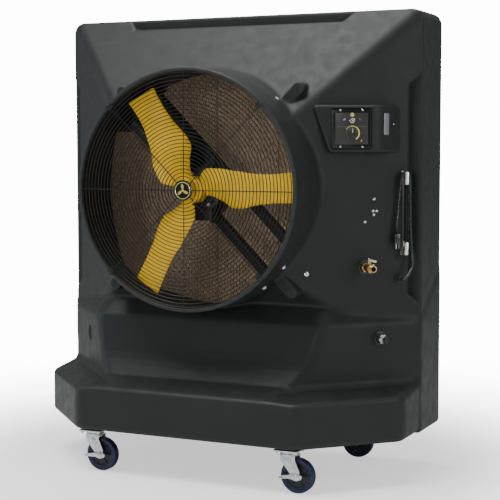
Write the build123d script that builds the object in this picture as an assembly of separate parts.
from build123d import *
import os
from math import cos, hypot, pi, radians, sin, sqrt

# Wheeled evaporative cooler: one moulded housing with a fan in front, wet pads behind, on casters.
# Millimetres. x runs to the right seen from the front, y to the back, z up from the floor.
# The fan axis runs along y at x = 0.

# ---------------------------------------------------------------- driving dimensions
WIDTH = 1506.0
DEPTH = 740.0
HEIGHT = 1743.0             # floor to cabinet top
BASE_Z = 158.0              # underside of the base, top of the caster plates
WALL = 8.0                  # moulded wall thickness
SIDE_X = WIDTH / 2
FRONT_Y = -DEPTH / 2        # front face of the base
BACK_Y = DEPTH / 2          # back face of the rear frame
WALL_Y = BACK_Y - 8.0       # back wall of the moulding, front face of the rear frame
HOPPER_Y = 126.0            # plane where the hopper leaves the cabinet sides
BASE_TOP = 330.0
APRON_BOTTOM = 364.0
APRON_TOP = 584.0
LOWER_TOP = 872.0
HOPPER_BOTTOM = 425.0
SIDE_SLOPE = 0.82           # y per x of the side facets of the hopper
TOP_SLOPE = 0.789           # y per z of its top facet
BASE_CHAMFER = 821.0        # x - y of the base chamfer planes
APRON_CHAMFER = 639.0       # x - y of the apron chamfer planes
CORNER_R = 47.0             # top corners of the cabinet

FAN_Z = 1077.0
SHROUD_R = 447.0
BORE_R = 437.0              # inside of the shroud
LIP_R = 431.0               # front lip of the shroud
RIM_Y = -345.0              # front of the shroud rim
BLADE_TIP_R = 412.0
SHAFT_R = 9.5
CLEARANCE = 0.06            # radial running clearance

CASTER_X, CASTER_Y = 406.0, 306.0
WHEEL_R = 63.5
TRAIL = 34.0                # pivot to axle
AXLE_R = 6.0

BACK = (0, 1, 0)
UP = (0, 0, 1)
DOWN = (0, 0, -1)

pieces = {}
housing_cuts = []           # taken from the housing, in order, once the other pieces are built


# ---------------------------------------------------------------- solids in world axes
def prism(plane, outline, height):
    wire = Wire.make_polygon(
        [plane.from_local_coords(Vector(a, b, 0)) for a, b in outline], close=True)
    return Solid.extrude(Face(wire), plane.z_dir * height)


def prism_x(outline, x0, x1):
    """Outline of (y, z)."""
    return prism(Plane(origin=(x0, 0, 0), x_dir=(0, 1, 0), z_dir=(1, 0, 0)), outline, x1 - x0)


def prism_y(outline, y0, y1):
    """Outline of (x, z)."""
    return prism(Plane(origin=(0, y1, 0), x_dir=(1, 0, 0), z_dir=(0, -1, 0)), outline, y1 - y0)


def prism_z(outline, z0, z1):
    """Outline of (x, y)."""
    return prism(Plane(origin=(0, 0, z0), x_dir=(1, 0, 0), z_dir=UP), outline, z1 - z0)


def block(x0, x1, y0, y1, z0, z1):
    return Solid.make_box(x1 - x0, y1 - y0, z1 - z0, Plane(origin=(x0, y0, z0)))


def cylinder(start, direction, radius, length):
    """Cylinder with its seam set square to the vertical, or to x for a vertical one."""
    direction = Vector(*direction)
    side = Vector(0, 0, 1) if abs(direction.Z) < 0.9 else Vector(1, 0, 0)
    plane = Plane(origin=start, x_dir=direction.cross(side), z_dir=direction)
    return Solid.make_cylinder(radius, length, plane)


def tube(start, direction, outer, inner, length):
    return cylinder(start, direction, outer, length) - cylinder(start, direction, inner, length)


def rod(start, direction, radius, length):
    """Cylinder with its seam left to the kernel."""
    return Solid.make_cylinder(radius, length, Plane(origin=start, z_dir=direction))


def post(x, y, z, radius, length):
    return rod((x, y, z), UP, radius, length)


def fan_disc(y, radius, length):
    """Cylinder on the fan axis, from y towards the back."""
    return cylinder((0, y, FAN_Z), BACK, radius, length)


# ---------------------------------------------------------------- solids on a local plane
def shifted(plane, x, y, z):
    origin = plane.from_local_coords(Vector(x, y, z))
    return Plane(origin=origin, x_dir=plane.x_dir, z_dir=plane.z_dir)


def point_on(plane, x, y, z):
    return plane.from_local_coords(Vector(x, y, z))


def disc_on(plane, x, y, z, radius, length):
    return Solid.make_cylinder(radius, length, shifted(plane, x, y, z))


def block_on(plane, x0, x1, y0, y1, z0, z1):
    return prism(shifted(plane, 0, 0, z0), [(x0, y0), (x1, y0), (x1, y1), (x0, y1)], z1 - z0)


def hexagon(flat_radius):
    corner = flat_radius / cos(pi / 6)
    return [(corner * cos(k * pi / 3), corner * sin(k * pi / 3)) for k in range(6)]


def hex_on(plane, x, y, z, flat_radius, length):
    return prism(shifted(plane, x, y, z), hexagon(flat_radius), length)


def screw_on(plane, x, y, tip, seat, shank_r, head_r, head_height):
    """Shank alone, for drilling, and the whole screw."""
    shank = disc_on(plane, x, y, tip, shank_r, seat - tip)
    return shank, shank + disc_on(plane, x, y, seat, head_r, head_height)


def fan_plane(y, degrees):
    """Plane across the fan axis facing front, its x pointing radially at the angle."""
    angle = radians(degrees)
    return Plane(origin=(0, y, FAN_Z), x_dir=(cos(angle), 0, sin(angle)), z_dir=(0, -1, 0))


def facet_y(x):
    """Depth of the right side facet of the hopper at x."""
    return HOPPER_Y - SIDE_SLOPE * (SIDE_X - x)


FACET_LENGTH = sqrt(1 + SIDE_SLOPE * SIDE_SLOPE)
FACET_ALONG = Vector(1 / FACET_LENGTH, SIDE_SLOPE / FACET_LENGTH, 0)    # to the right and back
FACET_OUT = Vector(SIDE_SLOPE / FACET_LENGTH, -1 / FACET_LENGTH, 0)


def facet_plane(x, z):
    """Plane on the right facet facing outwards, its y pointing up."""
    return Plane(origin=(x, facet_y(x), z), x_dir=FACET_ALONG, z_dir=FACET_OUT)


# ---------------------------------------------------------------- shape tools
def largest(shape):
    return max(shape.solids(), key=lambda solid: solid.volume)


def group(items):
    return Compound(children=[solid for item in items for solid in item.solids()])


def inset(outline, distance):
    """Mitred offset of a counter-clockwise outline, inwards when positive."""
    if not distance:
        return outline
    result = []
    for i, (x, y) in enumerate(outline):
        before, after = outline[i - 1], outline[(i + 1) % len(outline)]
        in_x, in_y = x - before[0], y - before[1]
        out_x, out_y = after[0] - x, after[1] - y
        in_length, out_length = hypot(in_x, in_y), hypot(out_x, out_y)
        n1 = (-in_y / in_length, in_x / in_length)
        n2 = (-out_y / out_length, out_x / out_length)
        det = n1[0] * n2[1] - n1[1] * n2[0]
        c1 = n1[0] * x + n1[1] * y + distance
        c2 = n2[0] * x + n2[1] * y + distance
        if abs(det) < 1e-9:
            result.append((x + n1[0] * distance, y + n1[1] * distance))
        else:
            result.append(((c1 * n2[1] - c2 * n1[1]) / det, (n1[0] * c2 - n2[0] * c1) / det))
    return result


# ---------------------------------------------------------------- housing
# d is the inset from the outside: 0 for the skin, WALL for the cavity.
TOP_RECESS = [(-444, 1703), (444, 1703), (504, 1763), (-504, 1763)]     # x, z
SIDE_RECESS = [(711, 690), (793, 608), (793, 1547), (711, 1465)]        # x, z
LUGS = [(45, 152.0), (135, 152.0), (-45, 214.0), (-135, 214.0)]         # angle, length


def chamfer_prism(d):
    """Keeps what lies inside the right front chamfers; mirrored for the left."""
    base, apron = BASE_CHAMFER / sqrt(2.0), APRON_CHAMFER / sqrt(2.0)
    outline = [(-900, BASE_Z), (base, BASE_Z), (base, BASE_TOP), (462, 352),
               (apron, APRON_BOTTOM), (apron, APRON_TOP),
               (apron - (LOWER_TOP - APRON_TOP), LOWER_TOP), (-900, LOWER_TOP)]
    sweep = Vector(-1, -1, 0).normalized()
    plane = Plane(origin=sweep * -1500, x_dir=(1, -1, 0), z_dir=sweep)
    return prism(plane, inset(outline, d), 3000)


def lower_body(d):
    side = [(WALL_Y, BASE_Z), (WALL_Y, LOWER_TOP), (HOPPER_Y, LOWER_TOP),
            (HOPPER_Y - (LOWER_TOP - APRON_TOP), APRON_TOP), (-203, 432),
            (-256, APRON_BOTTOM), (FRONT_Y, BASE_TOP), (FRONT_Y, BASE_Z)]
    body = prism_x(inset(side, d), -SIDE_X + d, SIDE_X - d)
    chamfer = chamfer_prism(d)
    return body & chamfer & mirror(chamfer, about=Plane.YZ)


def hopper(d):
    rear = 250
    plan = [(0, facet_y(0)), (SIDE_X, HOPPER_Y), (SIDE_X, rear),
            (-SIDE_X, rear), (-SIDE_X, HOPPER_Y)]
    # The bottom facet is the 45 degree plane y + z = bottom_sum; it meets the top one at fold_z.
    bottom_sum = HOPPER_Y + HOPPER_BOTTOM
    fold_z = (HOPPER_Y - TOP_SLOPE * HEIGHT - bottom_sum) / (-1 - TOP_SLOPE)
    side = [(rear, HOPPER_BOTTOM), (rear, HEIGHT), (HOPPER_Y, HEIGHT),
            (bottom_sum - fold_z, fold_z), (HOPPER_Y, HOPPER_BOTTOM)]
    return prism_z(inset(plan, d), 0, 2000) & prism_x(inset(side, d), -900, 900)


def cabinet_outline(d):
    body = block(-SIDE_X + d, SIDE_X - d, -600, WALL_Y - d, BASE_Z + d, HEIGHT - d)
    return fillet(body.edges().filter_by(Axis.Y).group_by(Axis.Z)[-1], CORNER_R - d)


def upper_body(d):
    body = block(-SIDE_X + d, SIDE_X - d, HOPPER_Y + d, WALL_Y - d, BASE_Z + d, HEIGHT - d)
    return (body + hopper(d)) & cabinet_outline(d)


def recesses(d):
    top = prism_y(inset(TOP_RECESS, -d), -200, HOPPER_Y + d)
    side = prism_y(inset(SIDE_RECESS, -d), -200, HOPPER_Y + d)
    return [top, side, mirror(side, about=Plane.YZ)]


def lug(degrees, length):
    """Round-ended bar standing out from the shroud."""
    inner, outer, half = 441.0, 522.0, 23.0
    plane = fan_plane(0, degrees)
    bar = prism(plane, [(inner, -half), (outer, -half), (outer, half), (inner, half)], length)
    return bar + rod(point_on(plane, outer, 0, 0), (0, -1, 0), half, length)


def make_housing():
    outer = lower_body(0) + upper_body(0)
    outer = outer + fan_disc(RIM_Y, SHROUD_R, 380)
    for recess in recesses(0):
        outer = outer - recess
    for degrees, length in LUGS:
        outer = outer + lug(degrees, length)
    upper_cavity = upper_body(WALL)
    for recess in recesses(WALL):
        upper_cavity = upper_cavity - recess
    housing = outer - (lower_body(WALL) + upper_cavity)
    housing = housing - fan_disc(RIM_Y + 6, BORE_R, 480) - fan_disc(RIM_Y - 5, LIP_R, 60)
    housing = housing - block(-700, 700, 250, 400, 352, 1690)       # opening at the back
    # Shallow pocket in the left apron chamfer.
    out = Vector(-1, -1, 0).normalized()
    plane = Plane(origin=Vector(-571, -68, 489) - out * 5, x_dir=(1, -1, 0), z_dir=out)
    housing = housing - prism(plane, [(-9, -32), (9, -24), (9, 24), (-9, 32)], 20)
    return largest(housing)


# ---------------------------------------------------------------- fan guard
GUARD_FRONT, GUARD_BACK = -344.0, -339.5
RING_COUNT, RING_START, RING_PITCH = 29, 37.35, 13.45
HALF_WIRE = 1.9


def make_guard():
    sketch = Sketch() + Circle(36)
    for i in range(1, RING_COUNT + 1):
        radius = RING_START + RING_PITCH * i
        sketch += Circle(radius + HALF_WIRE) - Circle(radius - HALF_WIRE)
    for k in range(8):
        sketch += Rot(0, 0, 45 * k) * Pos(214, 0) * Rectangle(424, 3.6)
    wires = extrude(fan_plane(GUARD_BACK, 0) * sketch, amount=GUARD_BACK - GUARD_FRONT,
                    dir=(0, -1, 0))
    pieces["fan_guard"] = largest(wires)
    badge = fan_disc(GUARD_FRONT - 5, 38, 5)
    front_edge = badge.edges().filter_by(GeomType.CIRCLE).sort_by(Axis.Y)[0]
    pieces["guard_badge"] = fillet(front_edge, 2)


def make_guard_clips():
    clips, screws = [], []
    for k in range(4):
        plane = fan_plane(RIM_Y, 45 + 90 * k)
        shank, screw = screw_on(plane, 439, 0, tip=-6, seat=3.0,
                                shank_r=2.5, head_r=5.0, head_height=2.6)
        clips.append(block_on(plane, 420, 445.5, -11, 11, 0, 3.0) - shank)
        housing_cuts.append(shank)
        screws.append(screw)
    pieces["guard_clips"] = group(clips)
    return screws


# ---------------------------------------------------------------- motor frame and motor
RAIL_Y = -60                # back of the rails
RAIL_H = 40
MOUNT_T = 6                 # motor plate
RAIL_X = 74                 # rail centres either side of the fan axis
MOTOR_R = 82.0
MOTOR_BACK = RAIL_Y - RAIL_H - MOUNT_T
MOTOR_FRONT = -206.0
NOSE = 12                   # length of the narrower motor front
FRAME_PLANE = fan_plane(RAIL_Y, 135)


def rail(centre):
    """Channel open to the back, trimmed to the shroud lip."""
    channel = (block_on(FRAME_PLANE, -440, 440, centre - 16, centre + 16, 0, RAIL_H)
               - block_on(FRAME_PLANE, -441, 441, centre - 13, centre + 13, -1, RAIL_H - 4))
    return channel & fan_disc(-300, LIP_R, 400)


def make_motor_frame():
    """Rails, saddles and struts with the motor plate; returns the motor bolts."""
    rails = rail(-RAIL_X) + rail(RAIL_X)
    saddles = tube((0, -262, FAN_Z), BACK, BORE_R - 0.05, LIP_R, 202)
    saddles = saddles & block_on(FRAME_PLANE, -450, 450, -112, 112, -1, 220)
    struts = (block_on(FRAME_PLANE, -60, -48, -58, 58, 0, 36)
              + block_on(FRAME_PLANE, 48, 60, -58, 58, 0, 36))
    frame = largest((rails + saddles) + struts)
    plate = block_on(FRAME_PLANE, -95, 95, -92, 92, RAIL_H, RAIL_H + MOUNT_T)
    bolts = []
    for x in (-62, 62):
        for y in (-RAIL_X, RAIL_X):
            shank = disc_on(FRAME_PLANE, x, y, 36, 4, 10)
            bolts.append(shank + hex_on(FRAME_PLANE, x, y, 46, 6.5, 5.5)
                         + hex_on(FRAME_PLANE, x, y, 29, 6.5, 7))
            plate = plate - shank
            frame = frame - shank
    pieces["motor_frame"] = largest(frame)
    pieces["motor_plate"] = largest(plate)
    return bolts


def make_motor():
    motor = (fan_disc(MOTOR_FRONT + NOSE, MOTOR_R, MOTOR_BACK - MOTOR_FRONT - NOSE)
             + fan_disc(MOTOR_FRONT, MOTOR_R - 16, NOSE + 2))
    motor = fillet(motor.edges().filter_by(GeomType.CIRCLE).group_by(Axis.Y)[0], 5)
    for k in range(16):
        plane = fan_plane(MOTOR_BACK - 12, 22.5 * k)
        motor = motor - block_on(plane, MOTOR_R - 5, MOTOR_R + 4, -3.5, 3.5, 0, 62)
    # Box on the underside.
    motor = motor + block(-34, 34, -182, -122, FAN_Z - 118, FAN_Z - 74)
    pieces["fan_motor"] = largest(motor - fan_disc(MOTOR_FRONT - 1, SHAFT_R + CLEARANCE, 80))
    pieces["motor_shaft"] = fan_disc(-298, SHAFT_R, 166)


def make_saddle_bolts():
    """Radial bolts through the shroud; the last one stands alone and misses the frame."""
    bolts = []
    for degrees, y in ((128, -178), (142, -178), (-38, -238), (-52, -238), (48, -178)):
        angle = radians(degrees)
        out = (cos(angle), 0, sin(angle))

        def radial(start, radius, length):
            at = (start * cos(angle), y, FAN_Z + start * sin(angle))
            return cylinder(at, out, radius, length)

        if degrees == 48:
            bolt = radial(SHROUD_R - 8, 3.0, 10) + radial(SHROUD_R - 1.5, 8.0, 5.5)
            bolts.append(bolt)
            housing_cuts.append(bolt)
            continue
        shank = radial(LIP_R, 3.0, SHROUD_R - LIP_R + 1)
        head = radial(SHROUD_R - 1.5, 9.0, 3.5) + radial(449.0, 7.0, 4.0)
        bolts.append(head + shank)
        housing_cuts.extend([head, shank])
        pieces["motor_frame"] = pieces["motor_frame"] - shank
    return bolts


# ---------------------------------------------------------------- fan
HUB_R = 50.0
BLADE_T = 5.0
CAMBER = 0.055              # share of the chord
CAMBER_LINE = [(0.0, 0.0), (0.3, 0.85), (0.62, 0.8), (1.0, 0.0)]    # chord share, camber share
# radius, low edge (tangential, y), high edge (tangential, y)
BLADE_STATIONS = [
    (40, -20, -254, 46, -290), (54, -21, -254, 61, -304),
    (70, -22, -253, 75, -312), (84, -27, -252, 80, -315),
    (100, -34.5, -250, 81, -315), (118, -43, -246, 80, -315),
    (134, -56, -243, 80, -314), (150, -65, -242, 78, -311),
    (166, -66.5, -242, 75, -305), (184, -67, -244, 71, -296),
    (204, -65, -248, 69, -291), (230, -58.5, -251, 65, -289),
    (270, -50.6, -255, 60.5, -283), (320, -45.4, -259, 60, -276),
    (370, -43.5, -260, 64, -274), (BLADE_TIP_R - 2, -44, -257, 69.5, -275),
]


def blade(degrees):
    wires = []
    for radius, low_t, low_y, high_t, high_y in BLADE_STATIONS:
        chord_t, chord_y = high_t - low_t, high_y - low_y
        chord = hypot(chord_t, chord_y)
        normal_t, normal_y = -chord_y / chord, chord_t / chord
        section = []
        for line, half in ((CAMBER_LINE, BLADE_T / 2), (CAMBER_LINE[::-1], -BLADE_T / 2)):
            for share, bend in line:
                drop = CAMBER * chord * bend - half
                section.append(Vector(radius, low_y + chord_y * share - normal_y * drop,
                                      low_t + chord_t * share - normal_t * drop))
        wires.append(Wire.make_polygon(section, close=True))
    body = Solid.make_loft(wires, ruled=True)
    body = body - cylinder((0, -320, 0), BACK, HUB_R, 130)
    body = largest(body & cylinder((0, -340, 0), BACK, BLADE_TIP_R, 160))
    return body.rotate(Axis((0, 0, 0), (0, -1, 0)), degrees).moved(Location((0, 0, FAN_Z)))


def make_fan():
    hub = fan_disc(-292, HUB_R, 54)
    hub = fillet(hub.edges().filter_by(GeomType.CIRCLE).sort_by(Axis.Y)[0], 8)
    pieces["fan_hub"] = largest(hub - fan_disc(-300, SHAFT_R, 70))
    pieces["hub_screw"] = largest(fan_disc(-300, 15, 2) + fan_disc(-303.5, 7, 3.5)
                                  - fan_disc(-298, SHAFT_R, 2))
    pieces["fan_blades"] = group([blade(degrees) for degrees in (0, 120, 240)])


# ---------------------------------------------------------------- control box, right facet
BOX_BOTTOM, BOX_TOP = 1212.0, 1386.0
BOX_LEFT = (424.0, facet_y(424.0) - 9.0)    # plan corners of the outward faces
BOX_FRONT = (640.0, -44.0)
BOX_REAR = (684.0, facet_y(684.0))
PLATE_HALF = 71.0
KNOB_X, KNOB_Y, KNOB_SHAFT_R = 3.0, -16.0, 3.5      # on the switch plate
SWITCH_X, SWITCH_Y, SWITCH_PIN_Z = 3.0, 29.0, -9.0


def wall_plane(start, end, share, z):
    """Outward plane on the upright wall between two plan points, its y pointing up."""
    dx, dy = end[0] - start[0], end[1] - start[1]
    length = hypot(dx, dy)
    return Plane(origin=(start[0] + share * dx, start[1] + share * dy, z),
                 x_dir=Vector(dx / length, dy / length, 0),
                 z_dir=Vector(dy / length, -dx / length, 0))


PANEL = wall_plane(BOX_LEFT, BOX_FRONT, (553.0 - 424.0) / (640.0 - 424.0), 1300.0)
SIDE_PANEL = wall_plane(BOX_FRONT, BOX_REAR, 0.5, 1317.0)


def box_body(d):
    """Box inset by d; the cavity runs on through the facet to open the back."""
    plan = [BOX_LEFT, BOX_FRONT, BOX_REAR, (BOX_REAR[0] - 30, BOX_REAR[1] + 60),
            (BOX_LEFT[0] - 30, BOX_LEFT[1] + 60)]
    body = prism_z(inset(plan, d), BOX_BOTTOM + d, BOX_TOP - d)
    above, below = BOX_TOP + 40, BOX_BOTTOM - 40
    slanted_end = [(330, above), (330, below), (490 + d, below), (412 + d, above)]
    body = body - prism_y(slanted_end, -400, 400)
    past = 20 if d else 0
    outside = [(200, -800), (900, -800), (900, facet_y(900) + past), (200, facet_y(200) + past)]
    return body & prism_z(outside, 0, 2000)


def box_shell():
    body = box_body(0)
    corner = Vector(*BOX_FRONT, 1300)
    front_edge = min(body.edges().filter_by(Axis.Z), key=lambda edge: (
        corner - Vector(edge.center().X, edge.center().Y, 1300)).length)
    try:
        body = fillet([front_edge], 14)
    except Exception:
        pass    # the box keeps a sharp front corner if the kernel cannot round it
    shell = largest(body - box_body(4.0))
    seat = PLATE_HALF + 2
    return largest(shell - block_on(PANEL, -seat, seat, -seat, seat, -1.0, 30)
                   - block_on(PANEL, -62, 62, -62, 62, -30, 30))


def make_switch():
    """Toggle lever on its cross pin; returns the slotted switch body."""
    x, y = SWITCH_X, SWITCH_Y
    body = disc_on(PANEL, x, y, -1.5, 6.0, 7.5) + block_on(PANEL, x - 9, x + 9, y - 7, y + 7,
                                                           -22, -1.5)
    body = body - block_on(PANEL, x - 2.3, x + 2.3, y - 4.75, y + 4.75, -16, 9)
    bore_plane = Plane(origin=point_on(PANEL, x - 3.5, y, SWITCH_PIN_Z),
                       x_dir=-PANEL.z_dir, z_dir=PANEL.x_dir)
    bore = [(2.0 * cos(2 * pi * k / 24), 2.0 * sin(2 * pi * k / 24)) for k in range(24)]
    body = body - prism(bore_plane, bore, 7)
    pin = rod(point_on(PANEL, x - 3.3, y, SWITCH_PIN_Z), PANEL.x_dir, 1.5, 6.6)
    lever = (disc_on(PANEL, x, y, -12.0, 1.9, 32.0)
             + Solid.make_sphere(3.6, Plane(origin=point_on(PANEL, x, y, 19.5))))
    pieces["pump_switch"] = largest(lever + pin)
    return body


def make_control_box():
    shell = box_shell()
    half = PLATE_HALF
    plate = block_on(PANEL, -half, half, -half, half, -1.0, 3.0)
    plate = fillet(plate.edges().filter_by(
        lambda edge: abs(edge.tangent_at(0).dot(PANEL.z_dir)) > 0.99), 6)
    screws = []
    for x in (-40, 40):
        for y in (-66, 66):
            shank, screw = screw_on(PANEL, x, y, tip=-5.0, seat=3.0,
                                    shank_r=1.8, head_r=3.8, head_height=1.8)
            screws.append(screw)
            plate = plate - shank
            shell = shell - shank
    plate = (plate - disc_on(PANEL, KNOB_X, KNOB_Y, -5, KNOB_SHAFT_R + CLEARANCE, 10)
             - disc_on(PANEL, SWITCH_X, SWITCH_Y, -5, 6.0, 10))
    pieces["switch_plate"] = largest(plate)
    # Knob with its shaft and a raised pointer.
    knob = (disc_on(PANEL, KNOB_X, KNOB_Y, 4.0, 17, 14)
            + disc_on(PANEL, KNOB_X, KNOB_Y, -14.0, KNOB_SHAFT_R, 18.5))
    knob = knob + block_on(PANEL, KNOB_X - 1.4, KNOB_X + 1.4, KNOB_Y, KNOB_Y + 16, 18, 19.2)
    pieces["speed_knob"] = largest(knob)
    # Controller: potentiometer and switch bodies joined by a block behind the plate.
    knob_bore = disc_on(PANEL, KNOB_X, KNOB_Y, -15.0, KNOB_SHAFT_R + CLEARANCE, 15)
    controller = (disc_on(PANEL, KNOB_X, KNOB_Y, -24.0, 11, 22.5) - knob_bore) + make_switch()
    controller = largest(controller + block_on(PANEL, -30, 30, -40, 44, -28, -21.9))
    pieces["speed_controller"] = largest(controller - knob_bore)

    shank, screw = screw_on(SIDE_PANEL, 24, 0, tip=-4.0, seat=2.0,
                            shank_r=1.8, head_r=3.8, head_height=1.8)
    pieces["side_plate"] = largest(block_on(SIDE_PANEL, -33, 30, -42, 42, 0, 2.0) - shank)
    pieces["control_box"] = largest(shell - shank)
    return screws + [screw]


# ---------------------------------------------------------------- right facet fittings
HOOK_X = 695.0
GLAND = facet_plane(683.5, 745.5)           # where the power cord enters
# x, z, head radius, head height
FACET_SCREWS = [
    (608, 1043, 4.2, 2.4), (605, 999, 4.2, 2.4), (616, 999, 4.2, 2.4),
    (607.5, 985, 4.2, 2.4), (581, 959, 4.2, 2.4), (407.5, 772, 10.0, 5.0),
]
CORD_R = 5.0
NEAR, FAR = 15.0, 28.0                      # the two layers of cord on the hooks
# offset along the facet from the hooks, z, distance out of the facet
CORD_WRAP = [
    (-31, 926, 22), (-29, 965, 21), (-20, 1040, NEAR + 2), (-13, 1100, NEAR),
    (-11, 1128, NEAR), (0, 1142, NEAR), (13, 1128, NEAR), (17, 1060, NEAR),
    (18, 940, NEAR), (14, 852, NEAR), (1, 834, NEAR + 2), (-11, 850, FAR),
    (-12, 940, FAR + 3), (-12, 1060, FAR + 3), (-11, 1126, FAR), (0, 1142, FAR),
    (13, 1128, FAR), (17, 1060, FAR), (20, 940, FAR), (25, 850, FAR + 2), (24, 800, 38),
]
# x, y, z on the gland plane
CORD_ENTRY = [(22, 22, 46), (8, 7, 48), (0, 0, 40), (0, 0, 32), (0, 0, 8), (0, 0, -26)]


def make_cord_hooks():
    hooks, screws = [], []
    for z in (1119.0, 860.0):
        plane = facet_plane(HOOK_X, z)
        hook = (block_on(plane, -8, 8, -26, 26, 0, 3) + block_on(plane, -5, 5, -5, 5, 2.5, 40)
                + block_on(plane, -6, 6, -23, 23, 40, 43))
        for y in (-18, 18):
            shank, screw = screw_on(plane, 0, y, tip=-7.0, seat=3.0,
                                    shank_r=2.0, head_r=3.8, head_height=2.0)
            hook = hook - shank
            housing_cuts.append(shank)
            screws.append(screw)
        hooks.append(hook)
    pieces["cord_hooks"] = group(hooks)
    return screws


def make_facet_screws():
    screws = []
    for x, z, head_r, head_height in FACET_SCREWS:
        shank, screw = screw_on(facet_plane(x, z), 0, 0, tip=-7.0, seat=0, shank_r=2.2,
                                head_r=head_r, head_height=head_height)
        housing_cuts.append(shank)
        screws.append(screw)
    return screws


def make_strain_relief():
    housing_cuts.append(disc_on(GLAND, 0, 0, -10, 9.0, 12))
    body = (hex_on(GLAND, 0, 0, 0, 14, 8) + disc_on(GLAND, 0, 0, 8, 10.5, 16)
            + disc_on(GLAND, 0, 0, -14, 9.0, 14) + hex_on(GLAND, 0, 0, -14, 13, 5.9))
    pieces["strain_relief"] = largest(body - disc_on(GLAND, 0, 0, -15, 5.5, 50))


def rope(points, radius, steps=3):
    """Cord on a Catmull-Rom curve, of short straight lengths with ball joints."""
    padded = [points[0]] + points + [points[-1]]
    fine = []
    for p0, p1, p2, p3 in zip(padded, padded[1:], padded[2:], padded[3:]):
        for k in range(steps):
            t = k / steps
            fine.append((p1 * 2 + (p2 - p0) * t + (p0 * 2 - p1 * 5 + p2 * 4 - p3) * (t * t)
                         + (p1 * 3 - p0 - p2 * 3 + p3) * (t * t * t)) * 0.5)
    fine.append(padded[-2])
    lengths = []
    for i in range(len(fine) - 1):
        step = fine[i + 1] - fine[i]
        lengths.append(rod(fine[i], step.normalized(), radius, step.length))
        if i:
            lengths.append(Solid.make_sphere(radius, Plane(origin=fine[i])))
    return largest(lengths[0].fuse(*lengths[1:]))


def make_power_cord():
    points = [point_on(facet_plane(HOOK_X, z), along, 0, out) for along, z, out in CORD_WRAP]
    points += [point_on(GLAND, *entry) for entry in CORD_ENTRY]
    pieces["power_cord"] = rope(points, CORD_R)


def make_power_plug():
    """Hanging plug with two blades and an earth pin."""
    start = point_on(facet_plane(HOOK_X, 924.4), -31, 0, 22)
    plane = Plane(origin=start, x_dir=FACET_ALONG, z_dir=DOWN)
    plug = block_on(plane, -8, 8, -9, 9, 0, 12) + block_on(plane, -12, 12, -12, 12, 12, 46)
    for x in (-6.5, 6.5):
        plug = plug + block_on(plane, x - 0.8, x + 0.8, 0.8, 7.2, 46, 64)
    plug = plug + rod(point_on(plane, 0, -6, 46), DOWN, 2.4, 20)
    pieces["power_plug"] = largest(plug)


# ---------------------------------------------------------------- water inlet and drain
INLET = facet_plane(579.0, 793.0)
STEM = Plane(origin=point_on(INLET, 0, 0, 57), x_dir=FACET_OUT, z_dir=UP)
STEM_R = 4.0
DRAIN_X = 636.0
DRAIN = Plane(origin=(DRAIN_X, DRAIN_X - APRON_CHAMFER, 530.0),
              x_dir=Vector(1, 1, 0).normalized(), z_dir=Vector(1, -1, 0).normalized())


def inlet_bulkhead():
    housing_cuts.append(disc_on(INLET, 0, 0, -12, 15.0, 16))
    body = (hex_on(INLET, 0, 0, 0, 24, 9) + disc_on(INLET, 0, 0, -46, 15.0, 46)
            + hex_on(INLET, 0, 0, -19, 23, 10.9) + disc_on(INLET, 0, 0, 9, 19.0, 7))
    return largest(body - disc_on(INLET, 0, 0, -47, 8.0, 70))


def drain_bulkhead():
    housing_cuts.append(disc_on(DRAIN, 0, 0, -12, 15.0, 16))
    body = (hex_on(DRAIN, 0, 0, 0, 24, 9) + disc_on(DRAIN, 0, 0, 9, 19.0, 11)
            + disc_on(DRAIN, 0, 0, -40, 15.0, 40) + hex_on(DRAIN, 0, 0, -19, 23, 10.9))
    return largest(body - disc_on(DRAIN, 0, 0, -41, 9.0, 80))


def stem_rod(z, radius, length):
    return rod(point_on(STEM, 0, 0, z), UP, radius, length)


def make_inlet_valve():
    body = (hex_on(INLET, 0, 0, 16, 16.5, 14) + disc_on(INLET, 0, 0, 30, 12.0, 14)
            + disc_on(INLET, 0, 0, 42, 17.5, 30) + hex_on(INLET, 0, 0, 72, 15.5, 12)
            + disc_on(INLET, 0, 0, 84, 13.3, 22))
    body = body - disc_on(INLET, 0, 0, 10, 8.0, 120)
    body = body + (stem_rod(14.0, 8.5, 12) - disc_on(INLET, 0, 0, 42, 17.4, 30))
    pieces["inlet_valve"] = largest(body - stem_rod(11.0, STEM_R + CLEARANCE, 30))


def make_inlet_lever():
    arm = [(-8, -7), (10, -8), (58, -6), (64, 0), (58, 6), (10, 8), (-8, 7)]
    grip = [(26, -8.5), (58, -7.5), (67, 0), (58, 7.5), (26, 8.5)]
    lever = stem_rod(12.0, STEM_R, 24)
    lever = lever + prism(shifted(STEM, 0, 0, 28.0), arm, 3.0)
    lever = lever + stem_rod(31.0, 6.2, 4.5)
    pieces["inlet_lever"] = largest(lever + prism(shifted(STEM, 0, 0, 26.6), grip, 5.8))


def make_drain():
    adapter = hex_on(DRAIN, 0, 0, 20, 15.5, 12) + disc_on(DRAIN, 0, 0, 32, 13.3, 20)
    pieces["drain_adapter"] = largest(adapter - disc_on(DRAIN, 0, 0, 19, 9.0, 60))
    plug = (disc_on(DRAIN, 0, 0, 40, 8.9, 12) + hex_on(DRAIN, 0, 0, 52.2, 8.0, 8)
            + disc_on(DRAIN, 0, 0, 52.0, 12.5, 2))
    pieces["drain_plug"] = largest(plug)


# ---------------------------------------------------------------- fill pipe and float
PIPE = point_on(INLET, 0, 0, -50)
PIPE_X, PIPE_Y = PIPE.X, PIPE.Y
HINGE_X, HINGE_Z = PIPE_X - 32, 366.0
HINGE_R = 3.0


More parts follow.
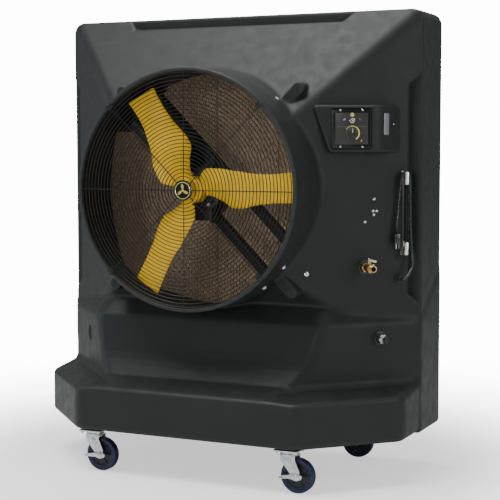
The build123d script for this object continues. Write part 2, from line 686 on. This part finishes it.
def make_fill_pipe():
    pipe = post(PIPE_X, PIPE_Y, 396, 11, 805 - 396)
    pipe = pipe - post(PIPE_X, PIPE_Y, 396, 8, 400)
    pipe = pipe + (post(PIPE_X, PIPE_Y, 778, 14, 30) - post(PIPE_X, PIPE_Y, 776, 8, 20))
    pieces["fill_pipe"] = largest(pipe - disc_on(INLET, 0, 0, -46, 15.0, 46)
                                  - disc_on(INLET, 0, 0, -60, 8.0, 70))


def make_float():
    valve = post(PIPE_X, PIPE_Y, 354, 16, 42)
    valve = valve + block(PIPE_X - 40, PIPE_X, PIPE_Y - 4, PIPE_Y + 4, 356, 376)
    valve = valve - post(PIPE_X, PIPE_Y, 370, 6, 30)
    valve = valve - cylinder((HINGE_X, PIPE_Y - 20, HINGE_Z), BACK, HINGE_R + CLEARANCE, 40)
    pieces["float_valve"] = largest(valve)

    # Forked arm on the hinge pin, then a rod to the ball.
    z0, z1 = HINGE_Z - 7, HINGE_Z + 7
    arm = cylinder((HINGE_X, PIPE_Y - 9, HINGE_Z), BACK, HINGE_R, 18)
    for y0, y1 in ((PIPE_Y - 9, PIPE_Y - 4.4), (PIPE_Y + 4.4, PIPE_Y + 9)):
        arm = arm + block(HINGE_X - 22, HINGE_X + 6, y0, y1, z0, z1)
    arm = arm + block(HINGE_X - 30, HINGE_X - 18, PIPE_Y - 9, PIPE_Y + 9, z0, z1)
    arm = arm + cylinder((HINGE_X - 29, PIPE_Y, HINGE_Z), (-1, 0, 0), 3.0, 124.9)
    pieces["float_arm"] = largest(arm)

    centre = (HINGE_X - 200, PIPE_Y, HINGE_Z)
    half_disc = Sketch() + Circle(46) - Pos(0, -50) * Rectangle(120, 100)
    ball = revolve(Plane(origin=centre, x_dir=(1, 0, 0), z_dir=(0, -1, 0)) * half_disc,
                   axis=Axis(centre, (1, 0, 0)))
    pieces["float_ball"] = largest(ball)


# ---------------------------------------------------------------- pads, header, pump
PAD_W, PAD_GAP = 270.0, 2.0
RISER_X, RISER_Y = 712.0, 275.0
HEADER_Z = 1668
PUMP_X = 688


def make_pads():
    starts = [-679.0 + i * (PAD_W + PAD_GAP) for i in range(5)]
    pieces["media_pads"] = group(
        [block(x, x + PAD_W, 200.0, 350.0, 382.0, 1630.0) for x in starts])
    half = SIDE_X - WALL
    tray = block(-half, half, 194, 352, 378, 382) + block(-half, half, 194, 197, 382, 402)
    for i in range(24):
        x = -640 + i * 55.0
        tray = tray - block(x, x + 25, 210, 340, 370, 390)
    pieces["pad_tray"] = largest(tray - post(RISER_X, RISER_Y, 360, 14, 40))


def make_header():
    riser_core = post(RISER_X, RISER_Y, 262, 13, 1690 - 262)
    riser = riser_core - post(RISER_X, RISER_Y, 262, 10, 1680 - 262)
    header = (cylinder((-655, RISER_Y, HEADER_Z), (1, 0, 0), 17, RISER_X + 655)
              - cylinder((-650, RISER_Y, HEADER_Z), (1, 0, 0), 14, RISER_X + 660))
    header = header - riser_core
    for i in range(30):
        header = header - post(-630 + i * 43.0, RISER_Y, HEADER_Z, 1.6, 20)
    pieces["water_header"] = largest(header)
    riser = riser - cylinder((RISER_X - 20, RISER_Y, HEADER_Z), (1, 0, 0), 9, 20)
    pieces["riser_pipe"] = largest(riser)
    pieces["header_cover"] = largest(block(-676, 676, 200, 350, 1632, 1704)
                                     - block(-680, 680, 202, 348, 1600, 1702))


def make_pump():
    pump = (post(PUMP_X, RISER_Y, 176, 50, 70) + post(PUMP_X, RISER_Y, 166, 54, 12)
            + post(RISER_X, RISER_Y, 242, 16, 20))
    for k in range(18):
        angle = 2 * pi * k / 18
        plane = Plane(origin=(PUMP_X, RISER_Y, 182), x_dir=(cos(angle), sin(angle), 0), z_dir=UP)
        pump = pump - block_on(plane, 46, 56, -3, 3, 0, 22)
    pieces["water_pump"] = largest(pump - post(RISER_X, RISER_Y, 250, 10, 30))


# ---------------------------------------------------------------- rear frame
def make_rear_frame():
    frame = (block(-722, 722, WALL_Y, BACK_Y, 332, 1714)
             - block(-668, 668, WALL_Y - 2, BACK_Y + 2, 386, 1640))
    for x in (-408, -136, 136, 408):
        frame = frame + block(x - 9, x + 9, WALL_Y, BACK_Y, 380, 1650)
    for z in (700, 1013, 1326):
        frame = frame + block(-675, 675, WALL_Y + 2, BACK_Y - 2, z - 6, z + 6)
    screws = []
    for x in (-712, 712):
        for z in (360, 690, 1023, 1356, 1688):
            shank = cylinder((x, BACK_Y - 2, z), (0, -1, 0), 2.5, 14)
            head = cylinder((x, BACK_Y, z), (0, -1, 0), 6.0, 2.5)
            screws.append(shank + head)
            frame = frame - shank - head
            housing_cuts.append(shank)
    pieces["rear_frame"] = largest(frame)
    pieces["frame_screws"] = group(screws)


# ---------------------------------------------------------------- casters
# pivot x, pivot y, has a brake
CASTERS = {
    "fl": (-CASTER_X, -CASTER_Y, True), "fr": (CASTER_X, -CASTER_Y, True),
    "rl": (-CASTER_X, CASTER_Y, False), "rr": (CASTER_X, CASTER_Y, False),
}


def axle_disc(x, y, radius, length):
    return cylinder((x, y, WHEEL_R), BACK, radius, length)


def caster_plate(x, y):
    """Top plate with its pivot, and the four bolts."""
    plate = block(x - 47, x + 47, y - 47, y + 47, 152.5, BASE_Z)
    plate = fillet(plate.edges().filter_by(Axis.Z), 8)
    for z, radius, length in ((144.2, 33, 8.3), (131.0, 8, 13.5), (126.2, 11, 5.5)):
        plate = plate + post(x, y, z, radius, length)
    bolts = []
    for bolt_x in (x - 36, x + 36):
        for bolt_y in (y - 36, y + 36):
            shank = post(bolt_x, bolt_y, 152.0, 4, 21)
            head = Plane(origin=(bolt_x, bolt_y, 147.0), z_dir=UP)
            nut = Plane(origin=(bolt_x, bolt_y, BASE_Z + WALL), z_dir=UP)
            bolts.append(shank + prism(head, hexagon(6.5), 5.5) + prism(nut, hexagon(6.5), 6.5))
            plate = plate - shank
            housing_cuts.append(shank)
    return largest(plate), bolts


def fork(x, y, axle_x):
    body = post(x, y, 134.0, 34, 9.9) + block(x - 26, x + 30, y - 27, y + 27, 134.0, 143.9)
    body = body - post(x, y, 120, 8 + CLEARANCE, 30)
    leg = [(x - 26, 140), (x - 26, 122), (axle_x - 13.5, 60), (axle_x, 48), (axle_x + 14, 56),
           (axle_x + 13, 80), (x + 30, 124), (x + 30, 140)]
    for y0, y1 in ((y - 27, y - 23), (y + 23, y + 27)):
        body = body + prism_y(leg, y0, y1)
    return largest(body - axle_disc(axle_x, y - 60, AXLE_R, 120))


def axle(axle_x, y, braked):
    start = y - 36 if braked else y - 31
    head = 3.5 if braked else 4
    return largest(axle_disc(axle_x, start, AXLE_R, y + 31 - start)
                   + axle_disc(axle_x, y + 27, 10, 6) + axle_disc(axle_x, start - 1, 10, head))


def wheel(axle_x, y):
    core = (axle_disc(axle_x, y - 13, 48, 26)
            - tube((axle_x, y - 14, WHEEL_R), BACK, 42, 18, 6)
            - tube((axle_x, y + 8, WHEEL_R), BACK, 42, 18, 6))
    core = core + axle_disc(axle_x, y - 22, 13, 44)
    return largest(core - axle_disc(axle_x, y - 60, AXLE_R + CLEARANCE, 120))


def tyre(axle_x, y):
    ring = tube((axle_x, y - 16, WHEEL_R), BACK, WHEEL_R, 48, 32)
    rims = [e for e in ring.edges().filter_by(GeomType.CIRCLE) if e.radius > WHEEL_R - 1]
    return largest(fillet(rims, 5))


def brake(x, y):
    """Lever on the axle at x, outside the front leg of the fork."""
    z = WHEEL_R
    lever = prism_y([(x - 54, z - 9), (x - 20, z - 8), (x, z - 11), (x + 24, z - 8),
                     (x + 26, z + 6), (x, z + 11), (x - 20, z + 8), (x - 54, z + 2)],
                    y - 33.0, y - 29.8)
    lever = lever + block(x - 66, x - 50, y - 33.0, y - 18.5, z - 9, z - 5.5)
    lever = lever + block(x - 56, x - 50, y - 33, y - 30, z - 9, z + 2)
    return largest(lever - axle_disc(x, y - 60, AXLE_R + CLEARANCE, 120))


def make_casters():
    plates, bolts = [], []
    for tag, (x, y, braked) in CASTERS.items():
        plate, plate_bolts = caster_plate(x, y)
        plates.append(plate)
        bolts += plate_bolts
        axle_x = x + TRAIL
        pieces["fork_" + tag] = fork(x, y, axle_x)
        pieces["axle_" + tag] = axle(axle_x, y, braked)
        pieces["wheel_" + tag] = wheel(axle_x, y)
        pieces["tyre_" + tag] = tyre(axle_x, y)
        if braked:
            pieces["brake_" + tag] = brake(axle_x, y)
    pieces["caster_plates"] = group(plates)
    pieces["caster_bolts"] = group(bolts)


# ---------------------------------------------------------------- build and export
housing = make_housing()
make_guard()
clip_screws = make_guard_clips()
motor_bolts = make_motor_frame()
make_motor()
make_fan()
pieces["motor_frame_bolts"] = group(motor_bolts + make_saddle_bolts())
box_screws = make_control_box()
hook_screws = make_cord_hooks()
facet_screws = make_facet_screws()
make_strain_relief()
make_power_cord()
make_power_plug()
pieces["bulkhead_fittings"] = group([inlet_bulkhead(), drain_bulkhead()])
make_inlet_valve()
make_inlet_lever()
make_fill_pipe()
make_float()
make_drain()
make_pads()
make_header()
make_pump()
make_rear_frame()
make_casters()
pieces["body_screws"] = group(clip_screws + box_screws + facet_screws + hook_screws)
for cut in housing_cuts:
    housing = housing - cut
pieces["housing"] = largest(housing)

os.makedirs("parts", exist_ok=True)
for name, shape in pieces.items():
    export_step(shape, "parts/%s.step" % name)
